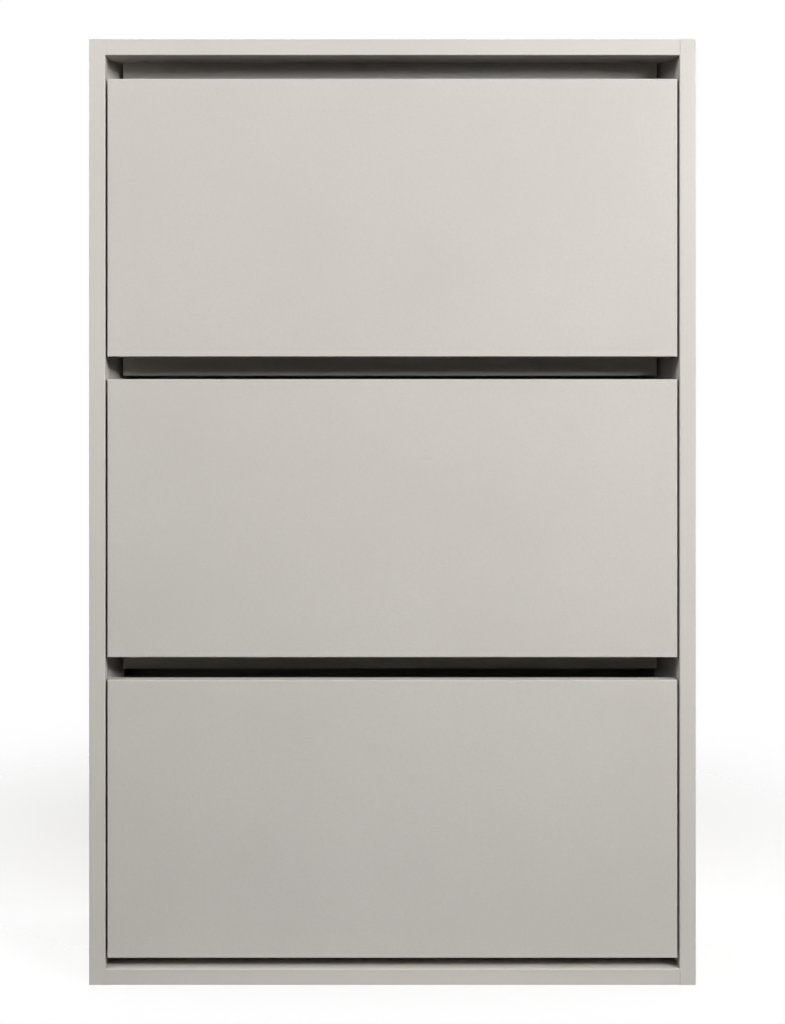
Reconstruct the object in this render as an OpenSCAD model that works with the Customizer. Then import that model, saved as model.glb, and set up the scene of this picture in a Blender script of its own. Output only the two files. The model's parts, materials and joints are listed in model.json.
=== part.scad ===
// Shoe cabinet with three tip-out flaps.
// A laminated carcass holds three buckets that turn outwards on steel pins near their lower edges.
// The cabinet stands on z = 0, centred on x and y, and its front faces -y.

/* [Carcass] */
// Width over the two side panels
cabinet_w = 600; // [500:10:700]
// Depth from the front edges to the wall
cabinet_d = 240; // [240:5:260]
// Thickness of the laminated boards
board_t = 16; // [15:1:18]
// Thickness of the edge band on the visible board edges
band_t = 0.8; // [0.4:0.2:1.2]
// Thickness of the hardboard back panel
back_panel_t = 3; // [3:0.5:4]
// Board left behind the back panel
back_panel_inset = 10; // [8:1:12]

/* [Fronts] */
// Height of one front
front_h = 275; // [270:1:285]
// Gap between a front and each side panel
side_gap = 2; // [1.5:0.5:2.5]
// Finger gap between two fronts
finger_gap = 22.5; // [22:0.5:26]
// Finger gap above the top front
top_gap = 23; // [22:0.5:26]
// Gap below the bottom front
bottom_gap = 10; // [10:0.5:14]
// Distance of the fronts behind the carcass edges
front_recess = 2; // [1:0.5:3]

/* [Buckets] */
// Angle to which the flaps are tipped out, 0 is closed
open_angle = 0; // [0:0.5:36]
// Height of the pivot above the lower edge of its front
pivot_up = 26; // [25:0.5:27]
// Distance of the pivot behind the carcass front edges
pivot_back = 24; // [23:0.5:25]
// Diameter of the pivot pins
pin_d = 6; // [5:0.5:7]
// Thickness of the bucket cheeks and of its floor
cheek_t = 10; // [8:0.5:10]
// Distance from the top of the front down to the circle in which the cheeks turn
cheek_drop = 10; // [9:0.5:12]
// Thickness of the divider and of the bucket's back board
thin_board_t = 6; // [5:0.5:6]
// Height of the divider above the pivot
divider_top = 150; // [120:5:180]

/* [Rails] */
// Distance of the rails behind the carcass front edges
rail_back = 52; // [50:1:54]
// Distance of a rail's lower edge above the front below it
rail_lift = 3; // [2:0.5:4]
// Height of the notches in the rail ends, which hold the corner blocks
notch_h = 18; // [17:0.5:19]

/* [Hidden] */
$fn = 48;

// Colours
laminate = "#cfccc5";
band_colour = "#d3d0c9";
hardboard = "#b9b6ae";
steel = "#b8babd";
zinc = "#9a9c9e";
plastic = "#8f8f8c";
moulding = "#cbc8c1";
rubber = "#3c3c3c";
beech = "#c9a77c";

// Flap levels, counted from the floor
BOTTOM = 0;
MIDDLE = 1;
TOP = 2;
LEVELS = [BOTTOM, MIDDLE, TOP];

// Carcass
inner_w = cabinet_w - 2 * board_t;
pitch = front_h + finger_gap;
inner_h = bottom_gap + 2 * pitch + front_h + top_gap;
cabinet_h = inner_h + 2 * board_t;
front_y = -cabinet_d / 2;
back_panel_y = cabinet_d / 2 - back_panel_inset - back_panel_t;
groove_depth = 6;
groove_play = 0.1;
cut = 1;

// Fronts and pivots
front_w = inner_w - 2 * side_gap;
pivot_y = front_y + pivot_back;
function front_z(level) = board_t + bottom_gap + level * pitch;
function pivot_z(level) = front_z(level) + pivot_up;

// Bucket, measured from its pivot
front_face = front_recess - pivot_back;
front_rear = front_face + board_t;
front_low = -pivot_up;
cheek_in = front_w / 2 - cheek_t;
floor_low = -2;
floor_top = floor_low + cheek_t;
floor_mid = floor_low + cheek_t / 2;
boss_r = 14;
cheek_r = front_h - pivot_up - cheek_drop;
cheek_top = front_h - pivot_up - 14;
back_clearance = 6;
bucket_rear = back_panel_y - pivot_y - back_clearance;
back_board_y = bucket_rear - thin_board_t;
back_board_top = 182;
divider_y = (front_rear + back_board_y - thin_board_t) / 2;
divider_groove = 3;

// Rails, whose wide upper part reaches the side panels
rail_y = front_y + rail_back;
rail_clearance = 1;
rail_w = 2 * (cheek_in - rail_clearance);
rail_room = 5;
function rail_low(level) = front_z(level) + front_h + rail_lift;
function rail_high(level) = pivot_z(level + 1) + floor_low - rail_room;
rail_mid_y = rail_y + board_t / 2;
rail_top_h = top_gap - rail_lift;
rail_base_h = rail_high(-1 + BOTTOM) - board_t;

// Corner blocks, wedges that fill the corners between the rails and the side panels
block_reach = 20;
block_play = 0.5;
block_clearance = 1.5;
block_tip_t = 0.5;
block_rear_t = 1;
peg_r = 2.5;
peg_root = 4;
peg_len = 8;
peg_levels = [8, 22];
function block_low(level) = pivot_z(level) + cheek_r + block_clearance;
function block_high(level) = level == TOP ? cabinet_h - board_t : rail_low(level) + notch_h;

// Fittings
cam_r = 7.5;
cam_depth = 12.5;
cam_from_end = 34;
cam_bolt_r = 3;
cam_bolt_in_side = 11;
cam_bolt_in_board = 26;
cam_y = cabinet_d / 2 - 40;
dowel_r = 4;
dowel_in_side = 11;
dowel_in_board = 24;
dowel_y = cabinet_d / 2 - 72;
bush_r = 5;
bush_len = 10;
bush_flange_r = 7;
bush_flange_t = 0.8;
pin_play = 0.05;
pin_in_bush = 9;
pin_head_r = 5;
pin_head_t = 2;
pin_head_play = 0.2;
buffer_r = 6;
buffer_x = 200;
opening_buffer_t = 2;
closing_buffer_gap = 0.3;
angle_leg = 20;
angle_w = 18;
angle_t = 2;
angle_hole_at = 12;
angle_levels = [45, 195];
wall_bracket_x = 200;
wall_bracket_w = 36;
wall_bracket_leg = 32;
wall_bracket_t = 2;
wall_hole_r = 3.1;
wall_hole_down = 18;
back_panel_hole_r = 5;
wall_screw_x = 9;
wall_screw_back = 20;

// Screws as [shank radius, length, head radius, head height]
board_screw = [1.75, 30, 3.5, 2];
thin_screw = [1.5, 18, 3, 1.6];
angle_screw = [1.5, 9, 3.2, 1.8];
rail_screw = [2, 32, 4, 2.3];
wall_screw = [2, 14, 3.8, 2.2];
screw_tip = 3;
floor_screw_y = [40, 150];
edge_screw_z = [30, 125];
floor_back_screw_x = 130;
rail_screw_x = [-180, 0, 180];
floor_dowel_x = 180;
floor_dowel_r = 3;
floor_dowel_in_front = 9;
floor_dowel_in_floor = 15;

// ---------- helpers ----------

// Builds the children on the right-hand side, or mirrors them to the left-hand one
module on_side(side) {
    if (side < 0)
        mirror([1, 0, 0]) children();
    else
        children();
}

module both_sides() {
    for (side = [-1, 1])
        on_side(side) children();
}

// Puts a bucket part on its pivot and tips it out
module on_pivot(level) {
    translate([0, pivot_y, pivot_z(level)])
        rotate([open_angle, 0, 0])
            children();
}

// A board from its lowest to its highest corner
module board(low, high) {
    translate(low)
        cube(high - low);
}

// Shank with its tip, running down from z = 0
module screw_shank(size) {
    translate([0, 0, screw_tip - size[1]])
        cylinder(r = size[0], h = size[1] - screw_tip);
    translate([0, 0, -size[1]])
        cylinder(r1 = 0.3, r2 = size[0], h = screw_tip);
}

// Countersunk screw whose head ends flush at z = 0
module flush_screw(size) {
    screw_shank(size);
    translate([0, 0, -size[3]])
        cylinder(r1 = size[0], r2 = size[2], h = size[3]);
}

// Screw with a raised head above z = 0
module raised_screw(size) {
    screw_shank(size);
    cylinder(r = size[2], h = size[3]);
}

// Cross recess, cut down from z = 0
module cross_recess(head_r) {
    for (turn = [0, 90])
        rotate([0, 0, turn])
            translate([-0.6 * head_r, -0.4, -1.2])
                cube([1.2 * head_r, 0.8, 1.2 + cut]);
}

module cut_flush_screw(size) {
    difference() {
        flush_screw(size);
        cross_recess(size[2]);
    }
}

module cut_raised_screw(size) {
    difference() {
        raised_screw(size);
        translate([0, 0, size[3]])
            cross_recess(size[2]);
    }
}

// ---------- places of the fittings ----------

// Cam bolts of the right-hand side, the bolt runs along +x from the origin
module at_cam_bolts() {
    for (y = [-cam_y, cam_y], z = [board_t / 2, cabinet_h - board_t / 2])
        translate([inner_w / 2, y, z]) children();
    for (level = [BOTTOM, MIDDLE])
        translate([inner_w / 2, rail_mid_y, rail_bolt_z(level)]) children();
}

function rail_bolt_z(level) = (rail_low(level) + notch_h + rail_high(level)) / 2;

module at_dowels() {
    for (y = [-dowel_y, dowel_y], z = [board_t / 2, cabinet_h - board_t / 2])
        translate([inner_w / 2, y, z]) children();
}

module cam_bolt() {
    translate([-cam_bolt_in_board, 0, 0])
        rotate([0, 90, 0])
            cylinder(r = cam_bolt_r, h = cam_bolt_in_board + cam_bolt_in_side);
}

module dowel() {
    translate([-dowel_in_board, 0, 0])
        rotate([0, 90, 0])
            cylinder(r = dowel_r, h = dowel_in_board + dowel_in_side);
}

// Cam housings of the right-hand side, each sunk from its open face
module at_cam_housings() {
    x = inner_w / 2 - cam_from_end;
    for (y = [-cam_y, cam_y]) {
        translate([x, y, board_t]) children();
        translate([x, y, cabinet_h - board_t]) rotate([180, 0, 0]) children();
    }
    for (level = [BOTTOM, MIDDLE])
        translate([x, rail_y + board_t, rail_bolt_z(level)])
            rotate([-90, 0, 0]) children();
}

module cam_body() {
    translate([0, 0, -cam_depth])
        cylinder(r = cam_r, h = cam_depth);
}

module at_block_pegs() {
    for (level = LEVELS, z = peg_levels)
        translate([inner_w / 2, rail_mid_y, block_low(level) + z]) children();
}

module block_peg() {
    translate([-peg_root, 0, 0])
        rotate([0, 90, 0])
            cylinder(r = peg_r, h = peg_root + peg_len);
}

module rail_screw_places() {
    for (x = rail_screw_x) {
        translate([x, rail_mid_y, rail_low(TOP)]) rotate([180, 0, 0]) children();
        translate([x, rail_mid_y, 0]) rotate([180, 0, 0]) children();
    }
}

module at_wall_brackets() {
    both_sides()
        translate([wall_bracket_x, back_panel_y, cabinet_h - board_t])
            children();
}

module at_wall_screws() {
    at_wall_brackets()
        for (x = [-wall_screw_x, wall_screw_x])
            translate([x, -wall_screw_back, -wall_bracket_t])
                rotate([180, 0, 0])
                    children();
}

// Screws that hold the bucket together, measured from its pivot
module at_floor_screws() {
    for (y = floor_screw_y)
        translate([front_w / 2, y, floor_mid])
            rotate([0, 90, 0])
                children();
}

module at_back_board_screws() {
    for (z = edge_screw_z)
        translate([front_w / 2 - cheek_t / 2, bucket_rear, z])
            rotate([-90, 0, 0])
                children();
    translate([floor_back_screw_x, bucket_rear, floor_mid])
        rotate([-90, 0, 0])
            children();
}

module at_angle_brackets() {
    for (z = angle_levels)
        translate([cheek_in, front_rear, z])
            children();
}

module at_angle_screws() {
    at_angle_brackets() {
        translate([-angle_hole_at, angle_t, 0]) rotate([-90, 0, 0]) children();
        translate([-angle_t, angle_hole_at, 0]) rotate([0, -90, 0]) children();
    }
}

module at_floor_dowels() {
    both_sides()
        translate([floor_dowel_x, front_rear - floor_dowel_in_front, floor_mid])
            rotate([-90, 0, 0])
                children();
}

// ---------- carcass ----------

module side_panel() {
    color(laminate)
        difference() {
            board([inner_w / 2, front_y + band_t, 0],
                [cabinet_w / 2, cabinet_d / 2, cabinet_h]);
            back_panel_groove();
            at_cam_bolts() cam_bolt();
            at_dowels() dowel();
            at_block_pegs() block_peg();
            for (level = LEVELS)
                translate([inner_w / 2 - cut, pivot_y, pivot_z(level)])
                    rotate([0, 90, 0])
                        cylinder(r = bush_r, h = bush_len + cut);
        }
}

// Slot for the back panel, all round the inside of the carcass
module back_panel_groove() {
    board([-inner_w / 2 - groove_depth, back_panel_y - groove_play, board_t - groove_depth],
        [inner_w / 2 + groove_depth, back_panel_y + back_panel_t + groove_play,
        cabinet_h - board_t + groove_depth]);
}

module side_left() {
    on_side(-1) side_panel();
}

module side_right() {
    on_side(1) side_panel();
}

module level_panel(z) {
    color(laminate)
        difference() {
            board([-inner_w / 2, front_y + band_t, z],
                [inner_w / 2, cabinet_d / 2, z + board_t]);
            back_panel_groove();
            both_sides() {
                at_cam_bolts() cam_bolt();
                at_dowels() dowel();
                at_cam_housings() cam_body();
            }
            rail_screw_places() flush_screw(rail_screw);
            at_wall_screws() raised_screw(wall_screw);
        }
}

module top_panel() {
    level_panel(cabinet_h - board_t);
}

module bottom_panel() {
    level_panel(0);
}

module back_panel() {
    rim = groove_depth - 0.5;
    color(hardboard)
        difference() {
            board([-inner_w / 2 - rim, back_panel_y, board_t - rim],
                [inner_w / 2 + rim, back_panel_y + back_panel_t, cabinet_h - board_t + rim]);
            at_wall_brackets()
                translate([0, -cut, -wall_hole_down])
                    rotate([-90, 0, 0])
                        cylinder(r = back_panel_hole_r, h = back_panel_t + 2 * cut);
        }
}

module carcass_edge_bands() {
    color(band_colour) {
        both_sides()
            board([inner_w / 2, front_y, 0], [cabinet_w / 2, front_y + band_t, cabinet_h]);
        for (z = [0, cabinet_h - board_t])
            board([-inner_w / 2, front_y, z], [inner_w / 2, front_y + band_t, z + board_t]);
    }
}

// ---------- rails ----------

// Rail behind a finger gap, notched at both ends for the corner blocks
module notched_rail(level) {
    color(laminate)
        difference() {
            board([-inner_w / 2, rail_y, rail_low(level)],
                [inner_w / 2, rail_y + board_t, rail_high(level)]);
            both_sides() {
                board([rail_w / 2, rail_y - cut, rail_low(level) - cut],
                    [inner_w / 2 + cut, rail_y + board_t + cut, rail_low(level) + notch_h]);
                at_cam_bolts() cam_bolt();
                at_cam_housings() cam_body();
            }
        }
}

module plain_rail(z, height) {
    color(laminate)
        difference() {
            board([-rail_w / 2, rail_y, z], [rail_w / 2, rail_y + board_t, z + height]);
            rail_screw_places() flush_screw(rail_screw);
        }
}

module rail_top() {
    plain_rail(rail_low(TOP), rail_top_h);
}

module rail_middle() {
    notched_rail(MIDDLE);
}

module rail_bottom() {
    notched_rail(BOTTOM);
}

module rail_base() {
    plain_rail(board_t, rail_base_h);
}

// Wedge beside a rail end, thin at the side panel's front and as deep as the rail behind it
module corner_block(level) {
    side = inner_w / 2;
    inner = rail_w / 2 + block_play;
    tip_y = rail_y - block_reach;
    rear_y = rail_y + board_t;
    translate([0, 0, block_low(level)])
        linear_extrude(block_high(level) - block_low(level))
            polygon([[side, tip_y], [side, rear_y], [inner, rear_y],
                [inner, rear_y - block_rear_t], [side - block_tip_t, tip_y]]);
}

module rail_corner_blocks() {
    color(moulding)
        both_sides() {
            for (level = LEVELS)
                corner_block(level);
            at_block_pegs() block_peg();
        }
}

// ---------- carcass fittings ----------

module cam_housings() {
    color(zinc)
        both_sides()
            at_cam_housings()
                difference() {
                    cam_body();
                    cross_recess(cam_r);
                }
}

module cam_bolts() {
    color(steel)
        both_sides()
            at_cam_bolts() cam_bolt();
}

module dowels() {
    color(beech)
        both_sides()
            at_dowels() dowel();
}

module rail_screws() {
    color(steel)
        rail_screw_places() cut_flush_screw(rail_screw);
}

module pivot_bushes() {
    color(plastic)
        both_sides()
            for (level = LEVELS)
                translate([inner_w / 2, pivot_y, pivot_z(level)])
                    rotate([0, 90, 0])
                        difference() {
                            union() {
                                cylinder(r = bush_r, h = bush_len);
                                translate([0, 0, -bush_flange_t])
                                    cylinder(r = bush_flange_r, h = bush_flange_t);
                            }
                            translate([0, 0, -cut])
                                cylinder(r = pin_d / 2 + pin_play, h = bush_len + 2 * cut);
                        }
}

// Pads behind the rails, which stop the opened buckets
module opening_buffers() {
    color(rubber)
        both_sides()
            for (level = LEVELS)
                translate([buffer_x, rail_y + board_t, rail_low(level) + buffer_r + 2])
                    rotate([-90, 0, 0])
                        cylinder(r = buffer_r, h = opening_buffer_t);
}

// Pads on the rails, on which the floors of the closed buckets rest
module closing_buffers() {
    color(rubber)
        both_sides()
            for (level = LEVELS)
                translate([buffer_x, rail_mid_y, rail_high(level - 1)])
                    cylinder(r = buffer_r, h = rail_room - closing_buffer_gap);
}

module wall_brackets() {
    color(steel)
        at_wall_brackets()
            difference() {
                union() {
                    board([-wall_bracket_w / 2, -wall_bracket_t, -wall_bracket_leg],
                        [wall_bracket_w / 2, 0, 0]);
                    board([-wall_bracket_w / 2, -wall_bracket_leg, -wall_bracket_t],
                        [wall_bracket_w / 2, 0, 0]);
                }
                translate([0, -wall_bracket_t - cut, -wall_hole_down])
                    rotate([-90, 0, 0])
                        cylinder(r = wall_hole_r, h = wall_bracket_t + 2 * cut);
                for (x = [-wall_screw_x, wall_screw_x])
                    translate([x, -wall_screw_back, -wall_bracket_t - cut])
                        cylinder(r = wall_screw[0], h = wall_bracket_t + 2 * cut);
            }
}

module wall_bracket_screws() {
    color(zinc)
        at_wall_screws() cut_raised_screw(wall_screw);
}

// ---------- flaps ----------

module flap_front(level) {
    color(laminate)
        on_pivot(level)
            difference() {
                board([-front_w / 2 + band_t, front_face, front_low + band_t],
                    [front_w / 2 - band_t, front_rear, front_low + front_h - band_t]);
                both_sides()
                    at_angle_screws() raised_screw(angle_screw);
                at_floor_dowels() floor_dowel();
            }
}

module flap_front_edge_bands(level) {
    low = front_low;
    high = front_low + front_h;
    color(band_colour)
        on_pivot(level) {
            board([-front_w / 2, front_face, low], [front_w / 2, front_rear, low + band_t]);
            board([-front_w / 2, front_face, high - band_t], [front_w / 2, front_rear, high]);
            both_sides()
                board([front_w / 2 - band_t, front_face, low + band_t],
                    [front_w / 2, front_rear, high - band_t]);
        }
}

// Outline of a cheek: flat against the front, rounded about the pivot behind it
module cheek_outline() {
    intersection() {
        circle(r = cheek_r);
        translate([front_rear, floor_low])
            square([back_board_y - front_rear, cheek_top - floor_low]);
    }
    intersection() {
        circle(r = boss_r);
        translate([front_rear, -boss_r])
            square([2 * boss_r, 2 * boss_r]);
    }
}

module cheek() {
    difference() {
        translate([cheek_in, 0, 0])
            rotate([90, 0, 90])
                linear_extrude(cheek_t)
                    cheek_outline();
        translate([cheek_in - cut, 0, 0])
            rotate([0, 90, 0])
                cylinder(d = pin_d, h = cheek_t + 2 * cut);
        board([cheek_in - cut, divider_y - groove_play, floor_top],
            [cheek_in + divider_groove, divider_y + thin_board_t + groove_play,
            divider_top + groove_play]);
        at_floor_screws() flush_screw(board_screw);
        at_back_board_screws() flush_screw(thin_screw);
        at_angle_screws() raised_screw(angle_screw);
    }
}

module flap_cheek(level, side) {
    color(laminate)
        on_pivot(level)
            on_side(side) cheek();
}

module flap_floor(level) {
    color(laminate)
        on_pivot(level)
            difference() {
                board([-cheek_in, front_rear, floor_low], [cheek_in, back_board_y, floor_top]);
                both_sides() {
                    at_floor_screws() flush_screw(board_screw);
                    at_back_board_screws() flush_screw(thin_screw);
                    pin_head_pocket();
                }
                at_floor_dowels() floor_dowel();
            }
}

// Room in the floor's end for the head of the pivot pin
module pin_head_pocket() {
    depth = pin_head_t + pin_head_play;
    translate([cheek_in - depth, 0, 0])
        rotate([0, 90, 0])
            cylinder(r = pin_head_r + pin_head_play, h = depth + cut);
}

module flap_back_board(level) {
    color(hardboard)
        on_pivot(level)
            difference() {
                board([-front_w / 2, back_board_y, floor_low],
                    [front_w / 2, bucket_rear, back_board_top]);
                both_sides()
                    at_back_board_screws() flush_screw(thin_screw);
            }
}

module flap_divider(level) {
    reach = cheek_in + divider_groove - groove_play;
    color(hardboard)
        on_pivot(level)
            board([-reach, divider_y, floor_top], [reach, divider_y + thin_board_t, divider_top]);
}

module flap_pivot_pins(level) {
    color(steel)
        on_pivot(level)
            both_sides()
                translate([cheek_in, 0, 0])
                    rotate([0, 90, 0]) {
                        translate([0, 0, -pin_head_t])
                            cylinder(r = pin_head_r, h = pin_head_t);
                        cylinder(d = pin_d, h = cheek_t + side_gap + pin_in_bush);
                    }
}

module flap_angle_brackets(level) {
    color(steel)
        on_pivot(level)
            both_sides()
                difference() {
                    at_angle_brackets() {
                        board([-angle_leg, 0, -angle_w / 2], [0, angle_t, angle_w / 2]);
                        board([-angle_t, 0, -angle_w / 2], [0, angle_leg, angle_w / 2]);
                    }
                    at_angle_screws() raised_screw(angle_screw);
                }
}

module flap_bracket_screws(level) {
    color(zinc)
        on_pivot(level)
            both_sides()
                at_angle_screws() cut_raised_screw(angle_screw);
}

module flap_board_screws(level) {
    color(zinc)
        on_pivot(level)
            both_sides() {
                at_floor_screws() cut_flush_screw(board_screw);
                at_back_board_screws() cut_flush_screw(thin_screw);
            }
}

module floor_dowel() {
    cylinder(r = floor_dowel_r, h = floor_dowel_in_front + floor_dowel_in_floor);
}

module flap_floor_dowels(level) {
    color(beech)
        on_pivot(level)
            at_floor_dowels() floor_dowel();
}

// ---------- nodes ----------

side_left();
side_right();
top_panel();
bottom_panel();
back_panel();
rail_top();
rail_middle();
rail_bottom();
rail_base();
rail_corner_blocks();
carcass_edge_bands();
cam_housings();
cam_bolts();
dowels();
rail_screws();
pivot_bushes();
opening_buffers();
closing_buffers();
wall_brackets();
wall_bracket_screws();

flap_front(TOP);  // top_front
flap_front_edge_bands(TOP);  // top_front_edge_bands
flap_cheek(TOP, -1);  // top_cheek_left
flap_cheek(TOP, 1);  // top_cheek_right
flap_floor(TOP);  // top_floor
flap_back_board(TOP);  // top_back_board
flap_divider(TOP);  // top_divider
flap_pivot_pins(TOP);  // top_pivot_pins
flap_angle_brackets(TOP);  // top_angle_brackets
flap_bracket_screws(TOP);  // top_bracket_screws
flap_board_screws(TOP);  // top_board_screws
flap_floor_dowels(TOP);  // top_floor_dowels

flap_front(MIDDLE);  // middle_front
flap_front_edge_bands(MIDDLE);  // middle_front_edge_bands
flap_cheek(MIDDLE, -1);  // middle_cheek_left
flap_cheek(MIDDLE, 1);  // middle_cheek_right
flap_floor(MIDDLE);  // middle_floor
flap_back_board(MIDDLE);  // middle_back_board
flap_divider(MIDDLE);  // middle_divider
flap_pivot_pins(MIDDLE);  // middle_pivot_pins
flap_angle_brackets(MIDDLE);  // middle_angle_brackets
flap_bracket_screws(MIDDLE);  // middle_bracket_screws
flap_board_screws(MIDDLE);  // middle_board_screws
flap_floor_dowels(MIDDLE);  // middle_floor_dowels

flap_front(BOTTOM);  // bottom_front
flap_front_edge_bands(BOTTOM);  // bottom_front_edge_bands
flap_cheek(BOTTOM, -1);  // bottom_cheek_left
flap_cheek(BOTTOM, 1);  // bottom_cheek_right
flap_floor(BOTTOM);  // bottom_floor
flap_back_board(BOTTOM);  // bottom_back_board
flap_divider(BOTTOM);  // bottom_divider
flap_pivot_pins(BOTTOM);  // bottom_pivot_pins
flap_angle_brackets(BOTTOM);  // bottom_angle_brackets
flap_bracket_screws(BOTTOM);  // bottom_bracket_screws
flap_board_screws(BOTTOM);  // bottom_board_screws
flap_floor_dowels(BOTTOM);  // bottom_floor_dowels
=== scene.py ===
import json
import math

import bmesh
import bpy
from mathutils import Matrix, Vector


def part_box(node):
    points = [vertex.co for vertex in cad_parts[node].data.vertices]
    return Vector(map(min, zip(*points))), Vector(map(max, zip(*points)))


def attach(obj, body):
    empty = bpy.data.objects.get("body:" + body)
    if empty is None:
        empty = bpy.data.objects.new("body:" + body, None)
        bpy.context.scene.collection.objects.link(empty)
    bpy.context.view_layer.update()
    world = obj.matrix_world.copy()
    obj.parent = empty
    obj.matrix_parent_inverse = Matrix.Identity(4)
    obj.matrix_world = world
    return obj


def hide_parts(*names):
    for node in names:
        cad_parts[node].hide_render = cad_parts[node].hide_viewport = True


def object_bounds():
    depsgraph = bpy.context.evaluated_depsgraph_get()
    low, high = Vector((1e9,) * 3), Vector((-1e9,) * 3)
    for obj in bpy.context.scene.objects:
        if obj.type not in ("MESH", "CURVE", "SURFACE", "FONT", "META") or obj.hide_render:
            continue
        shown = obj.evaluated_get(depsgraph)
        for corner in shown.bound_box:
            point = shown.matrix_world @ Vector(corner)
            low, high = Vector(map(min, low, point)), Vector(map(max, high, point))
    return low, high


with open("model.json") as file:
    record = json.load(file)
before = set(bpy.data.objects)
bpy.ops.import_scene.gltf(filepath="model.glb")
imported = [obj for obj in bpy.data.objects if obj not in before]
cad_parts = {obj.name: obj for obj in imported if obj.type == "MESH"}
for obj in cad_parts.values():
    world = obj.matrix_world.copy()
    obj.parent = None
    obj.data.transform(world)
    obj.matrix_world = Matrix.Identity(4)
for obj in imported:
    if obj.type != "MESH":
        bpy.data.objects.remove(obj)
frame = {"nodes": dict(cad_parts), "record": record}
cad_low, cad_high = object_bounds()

FLAPS = ("top", "middle", "bottom")
PANELS = ("side_left", "side_right", "top_panel", "bottom_panel")
NODES = frame["nodes"]
MM = 0.001

# ---------- camera: level, square to the front, its eye left of centre and above it ----------

EYE = Vector((-0.092, -1.998, 0.634))
LENS = 66.8
SENSOR = 36.0


def make_camera():
    data = bpy.data.cameras.new("camera")
    data.sensor_width = SENSOR
    data.lens = LENS
    eye_to_front = cad_low.y - EYE.y
    image_in_metres = SENSOR / LENS * eye_to_front
    middle = (cad_low + cad_high) / 2
    data.shift_x = (middle.x - EYE.x) / image_in_metres
    data.shift_y = (middle.z - EYE.z) / image_in_metres
    camera = bpy.data.objects.new("camera", data)
    camera.location = EYE
    camera.rotation_euler = (math.radians(90), 0, 0)
    bpy.context.scene.collection.objects.link(camera)
    bpy.context.scene.camera = camera


# ---------- node-building helpers ----------

def add(tree, kind, **values):
    """A shader node. A value goes to the node's property of that name, or else to its socket."""
    node = tree.nodes.new(kind)
    for key, value in values.items():
        if hasattr(node, key):
            setattr(node, key, value)
        else:
            node.inputs[key.replace("_", " ")].default_value = value
    return node


def join(tree, start, end):
    tree.links.new(start, end)


def new_material(name, **shader_values):
    material = bpy.data.materials.new(name)
    material.use_nodes = True
    tree = material.node_tree
    shader = tree.nodes["Principled BSDF"]
    for key, value in shader_values.items():
        shader.inputs[key.replace("_", " ")].default_value = value
    return material, tree, shader


def object_coordinates(tree, stretch=(1, 1, 1)):
    coordinates = add(tree, "ShaderNodeTexCoord")
    mapping = add(tree, "ShaderNodeMapping", Scale=stretch)
    join(tree, coordinates.outputs["Object"], mapping.inputs["Vector"])
    return mapping.outputs["Vector"]


def noise(tree, vector, scale, detail=3.0, roughness=0.5):
    node = add(tree, "ShaderNodeTexNoise", Scale=scale, Detail=detail, Roughness=roughness)
    join(tree, vector, node.inputs["Vector"])
    return node.outputs["Fac"]


def spread(tree, value, low, high, start=0.3, end=0.7):
    """Maps a value between start and end onto the range from low to high."""
    node = add(tree, "ShaderNodeMapRange", From_Min=start, From_Max=end, To_Min=low, To_Max=high)
    join(tree, value, node.inputs["Value"])
    return node.outputs["Result"]


# The Mix node has its sockets for numbers, vectors and colours one after the other.
MIX_FACTOR, MIX_NUMBER_A, MIX_NUMBER_B, MIX_COLOUR_A, MIX_COLOUR_B = 0, 2, 3, 6, 7
MIX_NUMBER_RESULT, MIX_COLOUR_RESULT = 0, 2


def blend_colours(tree, factor, first, second):
    """Mixes two colours, each a value or another node's output."""
    node = add(tree, "ShaderNodeMix", data_type="RGBA")
    join(tree, factor, node.inputs["Factor"])
    for index, colour in ((MIX_COLOUR_A, first), (MIX_COLOUR_B, second)):
        if isinstance(colour, bpy.types.NodeSocket):
            join(tree, colour, node.inputs[index])
        else:
            node.inputs[index].default_value = (*colour, 1)
    return node.outputs[MIX_COLOUR_RESULT]


def bump(tree, shader, height, strength, distance):
    node = add(tree, "ShaderNodeBump", Strength=strength, Distance=distance)
    join(tree, height, node.inputs["Height"])
    join(tree, node.outputs["Normal"], shader.inputs["Normal"])


def facing(tree, axis, threshold=0.9):
    """1 on the faces that look along +axis of the piece, else 0."""
    coordinates = add(tree, "ShaderNodeTexCoord")
    parts = add(tree, "ShaderNodeSeparateXYZ")
    join(tree, coordinates.outputs["Normal"], parts.inputs["Vector"])
    test = add(tree, "ShaderNodeMath", operation="GREATER_THAN")
    test.inputs[1].default_value = threshold
    join(tree, parts.outputs[axis], test.inputs[0])
    return test.outputs["Value"]


# ---------- materials ----------

CASHMERE = (0.648, 0.618, 0.576)
CASHMERE_DEEP = (0.620, 0.590, 0.550)
CASHMERE_FLECK = (0.552, 0.524, 0.482)
BAND_LIGHT = (0.674, 0.645, 0.602)
BAND_FLECK = (0.586, 0.558, 0.518)
MOULDING_LIGHT = (0.624, 0.596, 0.556)
MOULDING_DARK = (0.590, 0.562, 0.524)
CHIP_LIGHT = (0.560, 0.400, 0.240)
CHIP_DARK = (0.250, 0.150, 0.080)
CHIP_CORE = (0.420, 0.290, 0.170)
FIBRE_LIGHT = (0.310, 0.195, 0.110)
FIBRE_DARK = (0.200, 0.120, 0.065)
PAINT_LIGHT = (0.500, 0.485, 0.460)
PAINT_DARK = (0.470, 0.455, 0.430)
STEEL_LIGHT = (0.600, 0.610, 0.620)
STEEL_DARK = (0.480, 0.490, 0.500)
ZINC_WARM = (0.660, 0.650, 0.600)
ZINC_COOL = (0.520, 0.530, 0.540)
BUSH_LIGHT = (0.260, 0.260, 0.250)
BUSH_DARK = (0.220, 0.220, 0.210)
RUBBER_LIGHT = (0.022, 0.022, 0.023)
RUBBER_DARK = (0.014, 0.014, 0.015)
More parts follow.
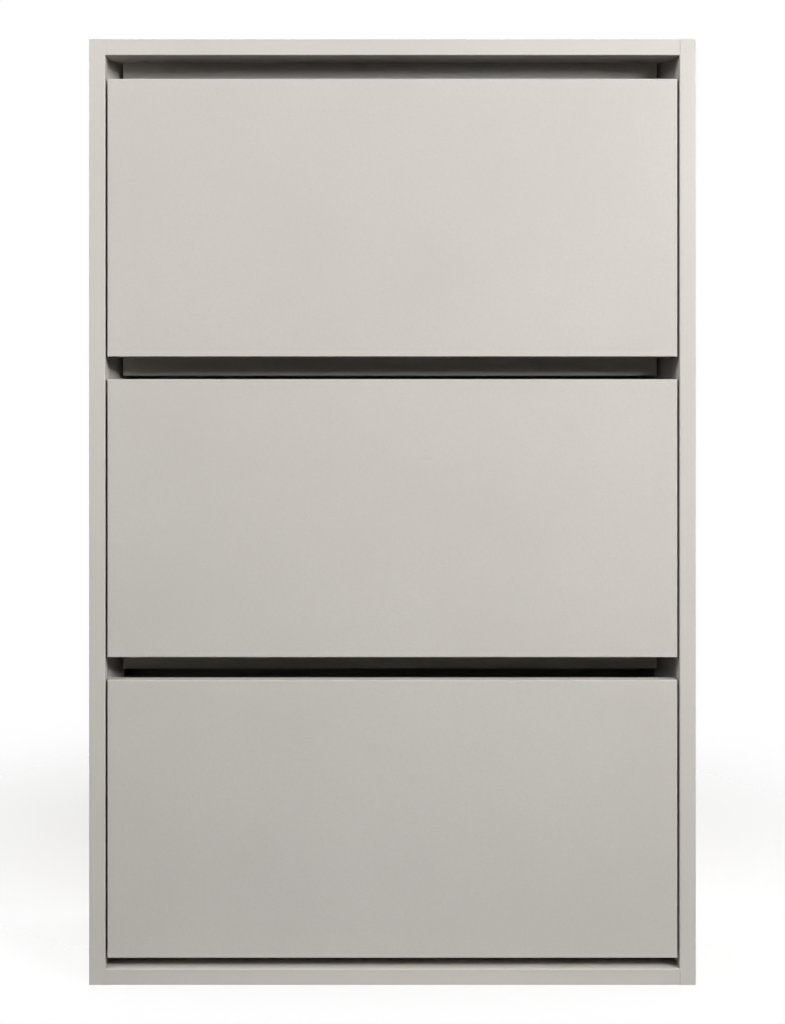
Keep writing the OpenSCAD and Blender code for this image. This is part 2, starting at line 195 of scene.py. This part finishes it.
BEECH_LIGHT = (0.600, 0.400, 0.220)
BEECH_DARK = (0.440, 0.270, 0.130)

# Sizes of the patterns, as noise scales per metre
CLOUDS = 7.0
HANDLING = 26.0
PEARL = 850.0
FLECKS = 420.0
CHIPS = 160.0
FIBRES = 500.0
BLOOM = 160.0
DRAWN_GRAIN = 900.0
BUSH_GRAIN = 700.0
BLOCK_GRAIN = 800.0
RUBBER_GRAIN = 900.0

# Range of the pearl noise over which a fleck fades in
FLECK_START = 0.45
FLECK_END = 0.7

# Patterns drawn out along one axis of the piece
ALONG_BAND = (1, 1, 0.03)
ALONG_STEEL = (1, 1, 0.1)
ALONG_DOWEL = (0.08, 1, 1)

# Lowest and highest roughness of each finish
LAMINATE_ROUGHNESS = (0.44, 0.56)
BAND_ROUGHNESS = (0.36, 0.46)
HARDBOARD_ROUGHNESS = (0.55, 0.75)
STEEL_ROUGHNESS = (0.22, 0.38)
ZINC_ROUGHNESS = (0.3, 0.5)
BUSH_ROUGHNESS = (0.4, 0.5)
BLOCK_ROUGHNESS = (0.45, 0.55)
RUBBER_ROUGHNESS = (0.65, 0.85)


def chipboard_colour(tree, vector):
    """Pressed flakes, each in its own tone, coarse ones over a fine core."""
    colour = CHIP_CORE
    for scale in (CHIPS, FLECKS):
        flakes = add(tree, "ShaderNodeTexVoronoi", Scale=scale, Randomness=1.0)
        join(tree, vector, flakes.inputs["Vector"])
        parts = add(tree, "ShaderNodeSeparateColor")
        join(tree, flakes.outputs["Color"], parts.inputs["Color"])
        flake = blend_colours(tree, parts.outputs["Red"], CHIP_LIGHT, CHIP_DARK)
        colour = blend_colours(tree, parts.outputs["Green"], colour, flake)
    return colour


def flecked_colour(tree, vector, tones, fleck, fleck_strength):
    """A cloudy board colour with fine pearl flecks, and the pattern of the flecks."""
    clouds = spread(tree, noise(tree, vector, CLOUDS), 0.0, 1.0)
    colour = blend_colours(tree, clouds, *tones)
    pearl = noise(tree, vector, PEARL, detail=2.0, roughness=0.6)
    flecks = spread(tree, pearl, 0.0, fleck_strength, start=FLECK_START, end=FLECK_END)
    return blend_colours(tree, flecks, colour, fleck), pearl


def laminate(name, raw_rear=False):
    """Matt melamine surface with a fine pearl structure. Faces to the rear may be raw chipboard."""
    material, tree, shader = new_material(name, Specular_IOR_Level=0.35)
    vector = object_coordinates(tree)
    tones = (CASHMERE, CASHMERE_DEEP)
    colour, pearl = flecked_colour(tree, vector, tones, CASHMERE_FLECK, fleck_strength=0.45)
    if raw_rear:
        colour = blend_colours(tree, facing(tree, "Y"), colour, chipboard_colour(tree, vector))
    join(tree, colour, shader.inputs["Base Color"])
    roughness = spread(tree, noise(tree, vector, HANDLING), *LAMINATE_ROUGHNESS)
    join(tree, roughness, shader.inputs["Roughness"])
    bump(tree, shader, pearl, strength=0.5, distance=0.1 * MM)
    return material


def edge_band():
    """Plastic band in the board's colour, a little smoother, with fine upright marks."""
    material, tree, shader = new_material("edge_band", Specular_IOR_Level=0.4)
    vector = object_coordinates(tree)
    tones = (BAND_LIGHT, CASHMERE)
    colour, _ = flecked_colour(tree, vector, tones, BAND_FLECK, fleck_strength=0.4)
    join(tree, colour, shader.inputs["Base Color"])
    streaks = noise(tree, object_coordinates(tree, ALONG_BAND), DRAWN_GRAIN)
    join(tree, spread(tree, streaks, *BAND_ROUGHNESS), shader.inputs["Roughness"])
    bump(tree, shader, streaks, strength=0.2, distance=0.06 * MM)
    return material


def hardboard():
    """Thin fibre board, painted grey on its front and raw brown on its rear face."""
    material, tree, shader = new_material("hardboard", Specular_IOR_Level=0.3)
    vector = object_coordinates(tree)
    fibres = noise(tree, vector, FIBRES, detail=4.0, roughness=0.65)
    clouds = spread(tree, noise(tree, vector, CLOUDS), 0, 1)
    painted = blend_colours(tree, clouds, PAINT_LIGHT, PAINT_DARK)
    strands = spread(tree, fibres, 0, 1, start=0.35, end=0.65)
    raw = blend_colours(tree, strands, FIBRE_LIGHT, FIBRE_DARK)
    colour = blend_colours(tree, facing(tree, "Y"), painted, raw)
    join(tree, colour, shader.inputs["Base Color"])
    join(tree, spread(tree, fibres, *HARDBOARD_ROUGHNESS), shader.inputs["Roughness"])
    bump(tree, shader, fibres, strength=0.5, distance=0.12 * MM)
    return material


def metal(name, colours, roughness, stretch=(1, 1, 1)):
    """Bare or plated metal whose fine grain may be drawn out along one axis."""
    material, tree, shader = new_material(name, Metallic=1.0)
    grain = noise(tree, object_coordinates(tree, stretch), DRAWN_GRAIN, detail=4.0)
    bloom = noise(tree, object_coordinates(tree), BLOOM)
    join(tree, blend_colours(tree, spread(tree, bloom, 0, 1), *colours), shader.inputs["Base Color"])
    join(tree, spread(tree, grain, *roughness), shader.inputs["Roughness"])
    bump(tree, shader, grain, strength=0.2, distance=0.03 * MM)
    return material


def moulded(name, colours, roughness, grain_scale):
    """Moulded plastic or rubber with an even spark-eroded grain."""
    material, tree, shader = new_material(name)
    grain = noise(tree, object_coordinates(tree), grain_scale)
    join(tree, blend_colours(tree, spread(tree, grain, 0, 1), *colours), shader.inputs["Base Color"])
    join(tree, spread(tree, grain, *roughness), shader.inputs["Roughness"])
    bump(tree, shader, grain, strength=0.3, distance=0.05 * MM)
    return material


def beech():
    """Raw turned wood with its grain along x, the direction of the carcass dowels."""
    material, tree, shader = new_material("beech", Roughness=0.6)
    grain = noise(tree, object_coordinates(tree, ALONG_DOWEL), FIBRES, detail=5.0)
    colour = blend_colours(tree, spread(tree, grain, 0, 1), BEECH_LIGHT, BEECH_DARK)
    join(tree, colour, shader.inputs["Base Color"])
    bump(tree, shader, grain, strength=0.3, distance=0.05 * MM)
    return material


def paint_nodes():
    """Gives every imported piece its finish, the panels one with raw rear faces. Returns the finishes."""
    board = laminate("laminate")
    panel = laminate("laminate_panel", raw_rear=True)
    finishes = {
        "laminated_board": board,
        "edge_band": edge_band(),
        "hardboard": hardboard(),
        "steel": metal("drawn_steel", (STEEL_LIGHT, STEEL_DARK), STEEL_ROUGHNESS, ALONG_STEEL),
        "zinc_plated_steel": metal("zinc_plate", (ZINC_WARM, ZINC_COOL), ZINC_ROUGHNESS),
        "bush_plastic": moulded("bush_plastic", (BUSH_LIGHT, BUSH_DARK), BUSH_ROUGHNESS, BUSH_GRAIN),
        "block_plastic": moulded("block_plastic", (MOULDING_LIGHT, MOULDING_DARK),
                                 BLOCK_ROUGHNESS, BLOCK_GRAIN),
        "rubber": moulded("rubber", (RUBBER_LIGHT, RUBBER_DARK), RUBBER_ROUGHNESS, RUBBER_GRAIN),
        "beech": beech(),
    }
    for part in frame["record"]["subparts"]:
        node = NODES[part["node"]]
        material = panel if part["node"] in PANELS else finishes[part["material_slot"]]
        node.data.materials.clear()
        node.data.materials.append(material)
    return finishes


# ---------- meshes ----------

WELD_DISTANCE = 0.001 * MM
SHARP_ANGLE = math.radians(40)


def new_object(name, mesh):
    piece = bpy.data.objects.new(name, mesh)
    bpy.context.scene.collection.objects.link(piece)
    return piece


def rounded_section(width, height, radius, steps=4):
    """Outline of a width by height rectangle whose two corners at the far height are rounded."""
    points = [(0, 0), (width, 0)]
    for centre_x, start in ((width - radius, 0), (radius, 90)):
        for step in range(steps + 1):
            angle = math.radians(start + 90 * step / steps)
            points.append((centre_x + radius * math.cos(angle),
                           height - radius + radius * math.sin(angle)))
    return points


def loft(name, rings, closed):
    """A solid through rings of equal length, closed on itself or capped at both ends."""
    shape = bmesh.new()
    loops = [[shape.verts.new(point) for point in ring] for ring in rings]
    count = len(rings[0])
    pairs = list(zip(loops, loops[1:]))
    if closed:
        pairs.append((loops[-1], loops[0]))
    for first, second in pairs:
        for i in range(count):
            j = (i + 1) % count
            shape.faces.new((first[i], first[j], second[j], second[i]))
    if not closed:
        shape.faces.new(list(reversed(loops[0])))
        shape.faces.new(loops[-1])
    bmesh.ops.recalc_face_normals(shape, faces=shape.faces)
    mesh = bpy.data.meshes.new(name)
    shape.to_mesh(mesh)
    shape.free()
    return new_object(name, mesh)


def soften(piece, width, segments=2):
    """Rounds the sharp edges of a piece. The weld joins split vertices, so the bevel finds the edges."""
    weld = piece.modifiers.new("weld", "WELD")
    weld.merge_threshold = WELD_DISTANCE
    bevel = piece.modifiers.new("bevel", "BEVEL")
    bevel.width = width
    bevel.segments = segments
    bevel.limit_method = "ANGLE"
    bevel.angle_limit = SHARP_ANGLE
    bevel.harden_normals = True


# ---------- edge bands ----------

BAND_RADIUS = 0.75 * MM


def carcass_band(name, low, high):
    """Strip on the front edge of a board, its two long front edges rounded. It runs along z or x."""
    size = high - low
    upright = size.z > size.x
    width = size.x if upright else size.z
    section = rounded_section(width, size.y, BAND_RADIUS)
    if upright:
        rings = [[(low.x + a, high.y - b, z) for a, b in section] for z in (low.z, high.z)]
    else:
        rings = [[(x, high.y - b, low.z + a) for a, b in section] for x in (low.x, high.x)]
    return loft(name, rings, closed=False)


def front_band(name, low, high, thickness):
    """Band round the four edges of a front, its outer corners rounded front and rear."""
    section = rounded_section(high.y - low.y, thickness, BAND_RADIUS)
    rings = []
    for x_side, z_side in ((-1, -1), (1, -1), (1, 1), (-1, 1)):
        corner_x = high.x if x_side > 0 else low.x
        corner_z = high.z if z_side > 0 else low.z
        rings.append([(corner_x - x_side * (thickness - b), low.y + a,
                       corner_z - z_side * (thickness - b)) for a, b in section])
    return loft(name, rings, closed=True)


def make_bands(material):
    """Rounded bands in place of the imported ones, on the carcass and round each front."""
    low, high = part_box("carcass_edge_bands")
    left, right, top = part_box("side_left"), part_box("side_right"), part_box("top_panel")
    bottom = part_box("bottom_panel")
    strips = {
        "band_left": (left[0].x, left[1].x, low.z, high.z),
        "band_right": (right[0].x, right[1].x, low.z, high.z),
        "band_top": (top[0].x, top[1].x, top[0].z, top[1].z),
        "band_bottom": (bottom[0].x, bottom[1].x, bottom[0].z, bottom[1].z),
    }
    for name, (x_low, x_high, z_low, z_high) in strips.items():
        strip = carcass_band(name, Vector((x_low, low.y, z_low)), Vector((x_high, high.y, z_high)))
        finish_band(strip, material, "carcass_edge_bands", "carcass")
    for flap in FLAPS:
        node = flap + "_front_edge_bands"
        low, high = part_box(node)
        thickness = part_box(flap + "_front")[0].x - low.x
        ring = front_band(flap + "_front_band", low, high, thickness)
        finish_band(ring, material, node, flap + "_flap")


def finish_band(piece, material, node, body):
    """Paints a band, hides the imported piece it stands for and puts it in its body."""
    piece.data.materials.append(material)
    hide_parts(node)
    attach(piece, body)


# ---------- stage and light ----------

FLOOR_HALF = 4.0
FLOOR_MIDDLE = (0.0, 0.5, 0.0)
FLOOR_FADE_START = 0.0
FLOOR_FADE_END = 0.95
FLOOR_PATCHES = 0.7
FLOOR_LIGHT = (0.93, 0.93, 0.93)
FLOOR_DARK = (0.91, 0.91, 0.91)


def make_stage():
    """A pale floor that fades into the white surround."""
    mesh = bpy.data.meshes.new("floor")
    corners = [(-1, -1), (1, -1), (1, 1), (-1, 1)]
    mesh.from_pydata([(FLOOR_HALF * x, FLOOR_HALF * y, 0) for x, y in corners], [], [(0, 1, 2, 3)])
    floor = new_object("floor", mesh)
    material, tree, shader = new_material("floor_paint", Roughness=0.9, Specular_IOR_Level=0.1)
    vector = object_coordinates(tree)
    tone = spread(tree, noise(tree, vector, FLOOR_PATCHES), 0, 1)
    join(tree, blend_colours(tree, tone, FLOOR_LIGHT, FLOOR_DARK), shader.inputs["Base Color"])
    reach = add(tree, "ShaderNodeVectorMath", operation="DISTANCE")
    join(tree, vector, reach.inputs[0])
    reach.inputs[1].default_value = FLOOR_MIDDLE
    cover = spread(tree, reach.outputs["Value"], 1.0, 0.0, start=FLOOR_FADE_START, end=FLOOR_FADE_END)
    cover.node.interpolation_type = "SMOOTHERSTEP"
    join(tree, cover, shader.inputs["Alpha"])
    mesh.materials.append(material)


def area_light(name, place, target, size, power, beam):
    data = bpy.data.lights.new(name, "AREA")
    data.shape = "DISK"
    data.size = size
    data.spread = math.radians(beam)
    data.energy = power
    light = bpy.data.objects.new(name, data)
    light.location = place
    light.rotation_euler = (Vector(target) - Vector(place)).to_track_quat("-Z", "Y").to_euler()
    bpy.context.scene.collection.objects.link(light)


# Strength of the sky behind the cabinet, the y of its direction where it is full, and the surround
SKY_BEHIND = 1.35
SKY_EDGE = 0.2
SURROUND = 1.0

# Name, place, target, disc diameter, watts and beam angle of each lamp
LAMPS = (
    ("key", (1.5, -2.2, 1.6), (0.0, -0.12, 0.5), 0.8, 43.7, 180),
    ("left", (-1.6, -0.9, 1.5), (0.0, -0.12, 0.5), 0.8, 14.0, 180),
    ("left_front", (-0.9, -1.2, 1.5), (0.0, -0.12, 0.5), 0.8, 4.5, 180),
    ("side", (1.9, -1.3, 1.35), (0.0, -0.12, 0.6), 0.8, 4.2, 70),
    ("far_left", (-4.0, -3.0, 2.0), (0.0, -0.12, 0.5), 2.0, 20.3, 180),
    ("lower_right", (1.2, -2.0, 2.4), (0.2, -0.12, 0.02), 0.5, 0.17, 24),
)


def make_light():
    """A white surround that lights from behind only, and the soft lamps in front."""
    world = bpy.data.worlds.new("studio")
    world.use_nodes = True
    tree = world.node_tree
    background = tree.nodes["Background"]
    background.inputs["Color"].default_value = (1, 1, 1, 1)
    coordinates = add(tree, "ShaderNodeTexCoord")
    parts = add(tree, "ShaderNodeSeparateXYZ")
    join(tree, coordinates.outputs["Generated"], parts.inputs["Vector"])
    lighting = spread(tree, parts.outputs["Y"], 0.0, SKY_BEHIND, start=0.0, end=SKY_EDGE)
    path = add(tree, "ShaderNodeLightPath")
    seen = add(tree, "ShaderNodeMix", data_type="FLOAT")
    join(tree, path.outputs["Is Camera Ray"], seen.inputs[MIX_FACTOR])
    join(tree, lighting, seen.inputs[MIX_NUMBER_A])
    seen.inputs[MIX_NUMBER_B].default_value = SURROUND
    join(tree, seen.outputs[MIX_NUMBER_RESULT], background.inputs["Strength"])
    bpy.context.scene.world = world
    for lamp in LAMPS:
        area_light(*lamp)
    bpy.context.scene.view_settings.view_transform = "Standard"


# ---------- the cabinet ----------

BOARD_ROUNDING = 0.3 * MM
JOINT_ROUNDING = 0.12 * MM
FITTING_ROUNDING = 0.2 * MM
PAD_ROUNDING = 0.25 * MM


def soften_nodes():
    """Rounds the boards, fronts, sheet fittings and pads, each kind by its own radius."""
    boards = [*PANELS, "rail_top", "rail_middle", "rail_bottom", "rail_base"]
    fronts = [flap + "_front" for flap in FLAPS]
    fittings = ["wall_brackets", *(flap + "_angle_brackets" for flap in FLAPS)]
    pads = ["opening_buffers", "closing_buffers"]
    for flap in FLAPS:
        boards += [flap + part for part in ("_cheek_left", "_cheek_right", "_floor", "_back_board")]
        boards.append(flap + "_divider")
    for names, rounding in ((boards, BOARD_ROUNDING), (fronts, JOINT_ROUNDING),
                            (fittings, FITTING_ROUNDING), (pads, PAD_ROUNDING)):
        for name in names:
            soften(NODES[name], rounding)


make_camera()
finishes = paint_nodes()
make_bands(finishes["edge_band"])
soften_nodes()
make_stage()
make_light()
